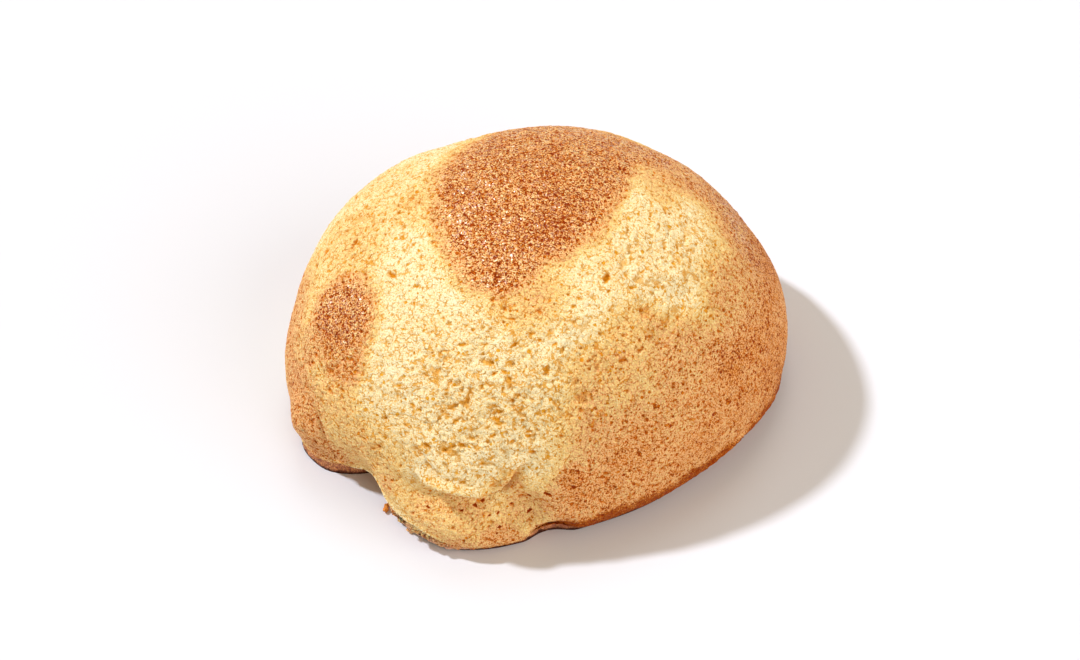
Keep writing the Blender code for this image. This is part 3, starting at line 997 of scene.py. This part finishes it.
    # The same domes stand proud. A glaze of sugar shines on grains where it is browned.
    relief = add(tree, "ShaderNodeMath", {
        0: deep, 1: -0.12, 2: rise,
    }, operation="MULTIPLY_ADD").outputs[0]
    firmness = add(tree, "ShaderNodeMapRange", {
        "Value": browning_and_painted_light, "From Min": 0.2, "From Max": 0.5, "To Min": 0.78, "To Max": 1.0,
    }).outputs[0]
    bump = add(tree, "ShaderNodeBump", {
        "Height": relief, "Strength": firmness, "Distance": 1.0 * MM,
    }).outputs[0]
    tilt = add(tree, "ShaderNodeMath", {
        0: facet.outputs["Value"], 1: FACET_SHINE / MM,
    }, operation="MULTIPLY").outputs[0]
    shine = add(tree, "ShaderNodeBump", {
        "Height": tilt, "Strength": 1.0, "Distance": 1.0 * MM,
    }).outputs[0]
    lucky = add(tree, "ShaderNodeSeparateColor", {0: grain.outputs["Color"]}).outputs[2]
    sugar = add(tree, "ShaderNodeMath", {0: lucky, 1: 0.55}, operation="GREATER_THAN").outputs[0]
    glaze = add(tree, "ShaderNodeMath", {0: sugar, 1: glazed}, operation="MULTIPLY").outputs[0]
    bare = add(tree, "ShaderNodeMath", {0: 1.0, 1: gold}, operation="SUBTRACT").outputs[0]
    glaze = add(tree, "ShaderNodeMath", {0: glaze, 1: bare}, operation="MULTIPLY").outputs[0]
    rough = add(tree, "ShaderNodeMapRange", {
        "Value": browning_and_painted_light, "From Min": 0.35, "From Max": 0.8, "To Min": 0.75, "To Max": 0.5,
    }).outputs[0]
    surface = add(tree, "ShaderNodeBsdfPrincipled", {
        "Base Color": tint, "Roughness": rough, "Normal": bump, "IOR": 1.17,
        "Coat Weight": glaze, "Coat Roughness": 0.3, "Coat IOR": 1.9, "Coat Normal": shine,
    })
    tree.links.new(surface.outputs[0], output.inputs["Surface"])
    return material


class MakeCrust(bpy.types.Operator):
    """Makes the bun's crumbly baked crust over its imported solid"""

    bl_idname = "cornbread.make_crust"
    bl_label = "Baked crust"

    def execute(self, context):
        settings = context.scene.cornbread_crust
        mesh = refined_copy(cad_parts["cornbread"])
        count = len(mesh.vertices)
        points, normals = np.empty(count * 3), np.empty(count * 3)
        mesh.vertices.foreach_get("co", points)
        mesh.vertex_normals.foreach_get("vector", normals)
        points, normals = points.reshape(-1, 3) / MM, normals.reshape(-1, 3)
        lift, tones = crust_relief(points, normals, settings)
        moved = (points + normals * lift[:, None]) * MM
        moved[:, 2] = np.maximum(moved[:, 2], 0)
        mesh.vertices.foreach_set("co", moved.ravel())
        for name, values in tones.items():
            set_attribute(mesh, name, values)
        mesh = thinned(mesh)
        close_base(mesh)
        mesh.shade_smooth()
        crust = bpy.data.objects.new("baked_crust", mesh)
        context.scene.collection.objects.link(crust)
        mesh.materials.clear()
        mesh.materials.append(crust_material(settings))
        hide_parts("cornbread")
        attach(crust, "root")
        return {"FINISHED"}


def loose_material(name, colour):
    """A scrap of baked crumb: dry, matt and grainy."""
    material, output = new_material(name)
    tree = material.node_tree
    place = add(tree, "ShaderNodeTexCoord").outputs["Object"]
    grain = add(tree, "ShaderNodeTexNoise", {
        "Vector": place, "Scale": per_metre(SCRAP_SPAN), "Detail": 3.0,
    }).outputs["Fac"]
    ramp = add(tree, "ShaderNodeValToRGB", {"Fac": grain})
    low, high = ramp.color_ramp.elements
    low.position, low.color = 0.35, (*(0.5 * part for part in colour), 1)
    high.position, high.color = 0.6, (*colour, 1)
    bump = add(tree, "ShaderNodeBump", {"Height": grain, "Distance": 0.4 * MM})
    surface = add(tree, "ShaderNodeBsdfPrincipled", {
        "Base Color": ramp.outputs["Color"], "Roughness": 0.7, "Normal": bump.outputs[0],
    })
    tree.links.new(surface.outputs[0], output.inputs["Surface"])
    return material


class MakeLooseCrumbs(bpy.types.Operator):
    """Makes the crumbs and flakes that fell off the bun's front left edge"""

    bl_idname = "cornbread.make_loose_crumbs"
    bl_label = "Loose crumbs"

    def execute(self, context):
        settings = context.scene.cornbread_loose
        bm = bmesh.new()
        for number, scrap in enumerate(LOOSE):
            made = bmesh.ops.create_icosphere(bm, subdivisions=4, radius=0.5)["verts"]
            shift = Vector((settings.seed, number, 0.0))
            for v in made:
                bump = noise.fractal(LOOSE_BUMPS * v.co + shift, 1.0, 2.0, 3)
                v.co *= 1 + LOOSE_BUMP_HEIGHT * bump
                v.co = Vector((v.co.x * scrap.length, v.co.y * scrap.width, v.co.z * scrap.height))
            turned = Matrix.Rotation(math.radians(scrap.turn), 4, "Z")
            lowest = min(v.co.z for v in made)
            sunk = LOOSE_SUNK * scrap.height
            rest = Matrix.Translation((scrap.x, scrap.y, -lowest - sunk))
            bmesh.ops.transform(bm, matrix=Matrix.Scale(MM, 4) @ rest @ turned, verts=made)
            for v in made:
                v.co.z = max(v.co.z, 0.0)
                for face in v.link_faces:
                    face.material_index = scrap.finish
                    face.smooth = True
        mesh = bpy.data.meshes.new("loose_crumbs")
        bm.to_mesh(mesh)
        bm.free()
        crumbs = bpy.data.objects.new("loose_crumbs", mesh)
        context.scene.collection.objects.link(crumbs)
        for name, colour in (("toasted crumb", settings.toasted), ("plain crumb", settings.plain),
                             ("burnt flake", settings.flake)):
            mesh.materials.append(loose_material(name, colour))
        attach(crumbs, "root")
        return {"FINISHED"}


class SetTable(bpy.types.Operator):
    """Sets the pale table, the light and the camera"""

    bl_idname = "cornbread.set_table"
    bl_label = "Table, light and camera"

    def execute(self, context):
        settings = context.scene.cornbread_table
        bm = bmesh.new()
        bmesh.ops.create_grid(bm, x_segments=1, y_segments=1, size=TABLE_REACH)
        mesh = bpy.data.meshes.new("table")
        bm.to_mesh(mesh)
        bm.free()
        table = bpy.data.objects.new("table", mesh)
        context.scene.collection.objects.link(table)
        # White laminate: even and matt, so that only the shadow shows on it.
        material, output = new_material("white laminate")
        surface = add(material.node_tree, "ShaderNodeBsdfPrincipled", {
            "Base Color": (*settings.table, 1), "Roughness": 0.8,
        })
        material.node_tree.links.new(surface.outputs[0], output.inputs["Surface"])
        mesh.materials.append(material)

        world = bpy.data.worlds.new("room")
        world.use_nodes = True
        room = world.node_tree.nodes["Background"]
        room.inputs["Color"].default_value = (*settings.fill, 1)
        room.inputs["Strength"].default_value = settings.fill_strength
        context.scene.world = world

        for name, strength, width, towards, colour in (
            ("key", settings.sun_strength, settings.sun_size, TO_LIGHT, settings.sun),
            ("card", settings.card_strength, CARD_WIDTH, TO_CARD, settings.card),
            ("sky", settings.sky_strength, SKY_WIDTH, TO_SKY, WHITE),
        ):
            lamp = bpy.data.lights.new(name, "SUN")
            lamp.energy, lamp.angle, lamp.color = strength, width, colour
            light = bpy.data.objects.new(name, lamp)
            light.rotation_euler = Vector(towards).to_track_quat("Z", "Y").to_euler()
            context.scene.collection.objects.link(light)

        camera = bpy.data.objects.new("camera", bpy.data.cameras.new("camera"))
        camera.data.lens, camera.data.sensor_width = LENS, SENSOR
        camera.location = Vector(CAMERA_AT) * MM
        aim = Vector(CAMERA_AIM) * MM - camera.location
        camera.rotation_euler = aim.to_track_quat("-Z", "Y").to_euler()
        context.scene.collection.objects.link(camera)
        context.scene.camera = camera
        context.scene.view_settings.view_transform = "Standard"
        return {"FINISHED"}


class CornbreadPanel(bpy.types.Panel):
    """Lists the pieces of the bun and their sizes and colours"""

    bl_idname = "VIEW3D_PT_cornbread"
    bl_label = "Cornbread bun"
    bl_space_type = "VIEW_3D"
    bl_region_type = "UI"
    bl_category = "Cornbread"

    def draw(self, context):
        layout = self.layout
        for operator in PIECES:
            layout.operator(operator.bl_idname)
        scene = context.scene
        for group in (scene.cornbread_crust, scene.cornbread_loose, scene.cornbread_table):
            for name in group.__annotations__:
                layout.prop(group, name)


PIECES = (MakeCrust, MakeLooseCrumbs, SetTable)
CLASSES = (CrustSettings, LooseSettings, TableSettings, *PIECES, CornbreadPanel)


def register():
    for cls in CLASSES:
        bpy.utils.register_class(cls)
    bpy.types.Scene.cornbread_crust = PointerProperty(type=CrustSettings)
    bpy.types.Scene.cornbread_loose = PointerProperty(type=LooseSettings)
    bpy.types.Scene.cornbread_table = PointerProperty(type=TableSettings)


def unregister():
    del bpy.types.Scene.cornbread_crust
    del bpy.types.Scene.cornbread_loose
    del bpy.types.Scene.cornbread_table
    for cls in reversed(CLASSES):
        bpy.utils.unregister_class(cls)


def main():
    register()
    bpy.ops.cornbread.make_crust()
    bpy.ops.cornbread.make_loose_crumbs()
    bpy.ops.cornbread.set_table()


if __name__ == "__main__":
    main()
